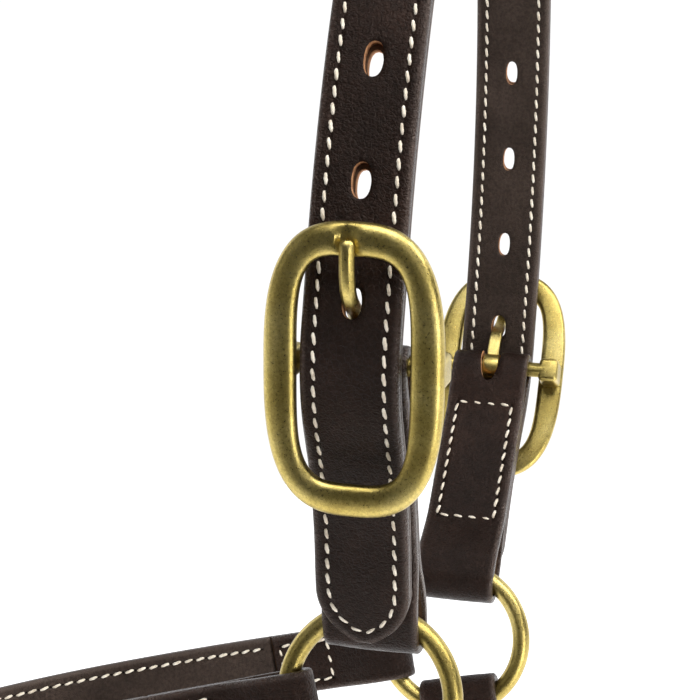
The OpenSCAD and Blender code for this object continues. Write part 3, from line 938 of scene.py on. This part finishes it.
# the rim's section: (share of the way from the inner oval to the outer, height over the rim's front or back)
RIM_FRONT = [(0.0, -1.75), (0.015, -1.35), (0.05, -0.95), (0.10, -0.62), (0.17, -0.36), (0.28, -0.12),
             (0.42, 0), (0.56, -0.07), (0.70, -0.26), (0.81, -0.55), (0.89, -0.95), (0.95, -1.45),
             (0.985, -2.05), (1.0, -2.7), (0.99, -3.4), (0.95, -3.95), (0.88, -4.3)]
RIM_BACK = [(0.78, 0), (0.24, 0), (0.10, 0.15), (0.03, 0.6), (0.0, 1.3)]


def rim_shell():
    n = 144
    t = even_angles(FRAME_L / 2, FRAME_W / 2, OUTER_POWER, n)
    ox, oy = oval(FRAME_L / 2, FRAME_W / 2, OUTER_POWER, t)
    ix, iy = oval(FRAME_L / 2 - RIM, FRAME_W / 2 - RIM, INNER_POWER, t)
    top = FRAME_BACK + RIM_T
    recess = top - 1.2         # the floor of the recess under the tongue's tip
    section = [(g, top + h) for g, h in RIM_FRONT] + [(g, FRAME_BACK + h) for g, h in RIM_BACK]
    co = []
    for k in range(n):
        wave = 0.05 * math.sin(3 * t[k] + 0.7)
        for g, h in section:
            s = ix[k] + (ox[k] - ix[k]) * g
            y = iy[k] + (oy[k] - iy[k]) * g
            if ox[k] < -FRAME_L / 2 + RIM + 1 and h > recess and g > 0.02:
                h += (recess - h) * smooth((2.45 - abs(y - (TONGUE_Y - FRAME_Y))) / 0.4)
            co.append((s, y + FRAME_Y, h + wave * (h > FRAME_BACK + 1)))
    c = np.array(co)
    return at_bar(c[:, 0], c[:, 1], c[:, 2]), tube_faces(n, len(section))


def rounded_box(lo, hi, r, n=5):
    """A box with rounded edges."""
    bm = bmesh.new()
    bmesh.ops.create_cube(bm, size=1)
    lo, hi = np.array(lo, float), np.array(hi, float)
    for v in bm.verts:
        v.co = Vector(lo + (np.array(v.co) + 0.5) * (hi - lo))
    bmesh.ops.bevel(bm, geom=bm.edges[:], offset=r, segments=n, profile=0.5, affect="EDGES")
    co = [tuple(v.co) for v in bm.verts]
    bm.verts.index_update()
    faces = [tuple(v.index for v in f.verts) for f in bm.faces]
    bm.free()
    c = np.array(co)
    return at_bar(c[:, 0], c[:, 1], c[:, 2]), faces


def rod(y0, y1, r, n=40):
    """The centre bar, with chamfered ends."""
    rows = [(y0, r - 0.3), (y0 + 0.3, r), (y1 - 0.3, r), (y1, r - 0.3)]
    turns = [2 * math.pi * k / n for k in range(n)]
    c = np.array([(q * math.cos(a), y, q * math.sin(a)) for y, q in rows for a in turns])
    return at_bar(c[:, 0], c[:, 1], c[:, 2]), tube_faces(4, n, closed=False)


def eye_shell():
    """The tongue's loop round the centre bar."""
    n, ro, ri, w = 56, BAR_R + 1.9, BAR_R + 0.06, (TONGUE_W + 1.4) / 2
    corner = [(ri, w - 0.5), (ri + 0.15, w - 0.15), (ri + 0.5, w),
              (ro - 0.7, w), (ro - 0.2, w - 0.2), (ro, w - 0.8)]
    section = [(r, -y) for r, y in corner] + corner[::-1]
    turns = [2 * math.pi * k / n for k in range(n)]
    c = np.array([(r * math.cos(a), y + TONGUE_Y, r * math.sin(a)) for a in turns for r, y in section])
    return at_bar(c[:, 0], c[:, 1], c[:, 2]), tube_faces(n, len(section))


# the tongue from its eye, up through the hole and over the strap to the rim: (length, out, half thickness)
TONGUE_LINE = [(-3.2, 0.3, 1.6), (-8, 0.7, 1.45), (-11.5, 1.9, 1.35), (-13.9, 4, 1.3), (-15.9, 6.5, 1.35),
               (-17.7, 8.8, 1.45), (-20.4, 10.6, 1.5), (-24, 11.55, 1.55), (-29, 12, 1.5), (-32.9, 11.9, 1.3)]


def spline(points, n):
    """A Catmull-Rom curve through the points."""
    p = np.array(points, float)
    p = np.vstack([2 * p[0] - p[1], p, 2 * p[-1] - p[-2]])
    out = []
    for x in np.linspace(0, len(points) - 1 - 1e-6, n):
        i, f = int(x), x - int(x)
        a, b, c, d = p[i], p[i + 1], p[i + 2], p[i + 3]
        squared = (2 * a - 5 * b + 4 * c - d) * f * f
        cubed = (3 * b - a - 3 * c + d) * f ** 3
        out.append(0.5 * (2 * b + (c - a) * f + squared + cubed))
    return np.array(out)


def blade_shell():
    pts = spline(TONGUE_LINE, 60)
    d = np.gradient(pts[:, :2], axis=0)
    d /= np.linalg.norm(d, axis=1)[:, None]
    nrm = np.stack([d[:, 1], -d[:, 0]], 1)
    nrm *= np.sign(nrm[30, 1] if abs(nrm[30, 1]) > 0.1 else 1)
    h = TONGUE_W / 2
    section = [(-h, -0.35), (-h, 0.25), (-h * 0.93, 0.42), (-h * 0.52, 0.92), (-h * 0.40, 1.0),
               (h * 0.40, 1.0), (h * 0.52, 0.92), (h * 0.93, 0.42), (h, 0.25), (h, -0.35),
               (h * 0.93, -0.75), (h * 0.72, -1.0), (-h * 0.72, -1.0), (-h * 0.93, -0.75)]
    total = np.concatenate([[0], np.cumsum(np.linalg.norm(np.diff(pts[:, :2], axis=0), axis=1))])
    co = []
    for i in range(len(pts)):
        left = total[-1] - total[i]
        end = math.sqrt(max(0.0, 1 - (1 - min(1, left / 1.6)) ** 2))      # rounds the tip
        narrow = 1 - 0.12 * min(1, total[i] / 30)
        for y, z in section:
            q = pts[i, :2] + nrm[i] * z * pts[i, 2] * (0.45 + 0.55 * end)
            co.append((q[0], y * narrow * (0.55 + 0.45 * end) + TONGUE_Y, q[1]))
    c = np.array(co)
    return at_bar(c[:, 0], c[:, 1], c[:, 2]), tube_faces(len(pts), len(section), closed=False)


BAR_HALF = FRAME_W / 2 - RIM / 2
for side, hand in ((1, "left"), (-1, "right")):
    parts = [rim_shell(), rod(FRAME_Y - BAR_HALF - 1, FRAME_Y + BAR_HALF + 1, BAR_R)]
    for w in (-1, 1):        # the lugs that join the bar to the rim
        c = w * (BAR_HALF + 0.3) + FRAME_Y
        parts.append(rounded_box((-4, c - 3.3, -BAR_R), (4, c + 3.3, FRAME_BACK + 0.9), 1.5))
    rim = joined(hand + "_buckle_rim", parts, 35, side < 0)
    put(rim, hand + "_buckle", "brass", hand + "_buckle_frame")
    tongue = joined(hand + "_tongue_bar", [eye_shell(), blade_shell()], 32, side < 0)
    put(tongue, hand + "_tongue", "brass", hand + "_buckle_tongue")

# the rings keep their CAD shape and get the brass
for node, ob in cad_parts.items():
    if "ring" in node.split("_"):
        ob.data.materials.clear()
        ob.data.materials.append(BRASS)
        ob.data.polygons.foreach_set("use_smooth", np.ones(len(ob.data.polygons), bool))

# ------------------------------------------------------------------ floor, light, camera
CAM_AZ, CAM_EL, CAM_ROLL = -75.566, -1.117, -1.179      # degrees
CAM_AT = (-531.8, -93.1, -184.9)                        # mm
CAM_LENS, CAM_SENSOR = 93.9086, 36.0                    # mm
FLOOR_DROP, FLOOR_START, FLOOR_REACH = 0.02, 0.28, 6    # metres

# a sweep that starts just in front of the object and runs back behind it
floor_z = cad_box[0].z - FLOOR_DROP
ahead_x, ahead_y = -math.sin(rad(CAM_AZ)), math.cos(rad(CAM_AZ))
corners = [(-FLOOR_REACH, -FLOOR_START), (FLOOR_REACH, -FLOOR_START), (FLOOR_REACH, FLOOR_REACH),
           (-FLOOR_REACH, FLOOR_REACH)]
me = bpy.data.meshes.new("floor")
me.from_pydata([(u * ahead_y + v * ahead_x, -u * ahead_x + v * ahead_y, floor_z) for u, v in corners],
               [], [(0, 1, 2, 3)])
floor = bpy.data.objects.new("floor", me)
bpy.context.scene.collection.objects.link(floor)
m, t, b = node_tree("pale_floor")
floor_white = ramp(t, noise(t, 3, 2), [(0.3, grey(0.86)), (0.7, grey(0.9))])
t.links.new(floor_white, b.inputs["Base Color"])
t.links.new(floor_white, b.inputs["Emission Color"])
b.inputs["Emission Strength"].default_value = 1.15
b.inputs["Roughness"].default_value = 0.9
me.materials.append(m)

a, e = rad(CAM_AZ), rad(CAM_EL)
back = Vector((math.sin(a) * math.cos(e), -math.cos(a) * math.cos(e), math.sin(e)))      # towards the camera
right = Vector((0, 0, 1)).cross(back).normalized()
up = back.cross(right).normalized()
cam = bpy.data.cameras.new("camera")
cam.sensor_width = CAM_SENSOR
cam.lens = CAM_LENS
cam.clip_start, cam.clip_end = 0.01, 50
cam_ob = bpy.data.objects.new("camera", cam)
bpy.context.scene.collection.objects.link(cam_ob)
cam_ob.location = Vector(CAM_AT) * MM
cam_ob.rotation_mode = "QUATERNION"
cam_ob.rotation_quaternion = (-back).to_track_quat("-Z", "Y") @ Quaternion((0, 0, 1), rad(CAM_ROLL))
bpy.context.scene.camera = cam_ob

AIM = Vector((0, 0.01, -0.2))


def area(name, direction, distance, size, power, colour=(1, 1, 1)):
    """A softbox that faces the object from a direction."""
    light = bpy.data.lights.new(name, "AREA")
    light.shape, light.size, light.size_y = "RECTANGLE", size[0], size[1]
    light.energy, light.color = power, colour
    o = bpy.data.objects.new(name, light)
    bpy.context.scene.collection.objects.link(o)
    o.location = AIM + direction.normalized() * distance
    o.rotation_mode = "QUATERNION"
    o.rotation_quaternion = (o.location - AIM).to_track_quat("Z", "Y")


area("key", back * 0.50 + right * 0.90 + up * 0.80, 1.3, (0.36, 0.7), 11, (1.0, 0.985, 0.96))
area("fill", back * 0.5 - right * 1.1 + up * 0.25, 1.5, (0.5, 0.9), 0.9)
area("top", up * 1.0 + back * 0.55, 1.2, (0.9, 0.4), 9.5)
area("front_strip", back * 1.0 + right * 0.15 + up * 0.10, 1.3, (0.6, 0.16), 0.9)
area("over_front", back * 1.0 + up * 0.95, 1.3, (1.0, 0.30), 5.5)
area("low_right", back * 0.9 + right * 0.75 - up * 0.42, 1.3, (0.30, 0.5), 7.0)
area("rim", -back * 0.7 + right * 1.0 + up * 0.4, 1.5, (0.6, 1.0), 4)
area("rim_left", -back * 0.7 - right * 1.0 + up * 0.3, 1.5, (0.6, 1.0), 3)

world = bpy.data.worlds.new("studio")
world.use_nodes = True
t = world.node_tree
t.nodes.clear()
out = t.nodes.new("ShaderNodeOutputWorld")
seen = t.nodes.new("ShaderNodeBackground")
lit = t.nodes.new("ShaderNodeBackground")
seen.inputs[0].default_value = (1, 1, 1, 1)
seen.inputs[1].default_value = 1.05
lit.inputs[0].default_value = (0.95, 0.97, 1.0, 1)
# the backdrop behind lights the object, the room in front is dark
coord = t.nodes.new("ShaderNodeTexCoord")
ahead = t.nodes.new("ShaderNodeVectorMath")
ahead.operation = "DOT_PRODUCT"
t.links.new(coord.outputs["Generated"], ahead.inputs[0])
ahead.inputs[1].default_value = tuple(-back)
room = ramp(t, ahead.outputs["Value"], [(0.05, grey(0.07)), (0.55, grey(0.95))])
t.links.new(room, lit.inputs[1])
ray = t.nodes.new("ShaderNodeLightPath")
mixed = t.nodes.new("ShaderNodeMixShader")
t.links.new(ray.outputs["Is Camera Ray"], mixed.inputs[0])
t.links.new(lit.outputs[0], mixed.inputs[1])
t.links.new(seen.outputs[0], mixed.inputs[2])
t.links.new(mixed.outputs[0], out.inputs[0])
bpy.context.scene.world = world
bpy.context.scene.view_settings.view_transform = "Standard"
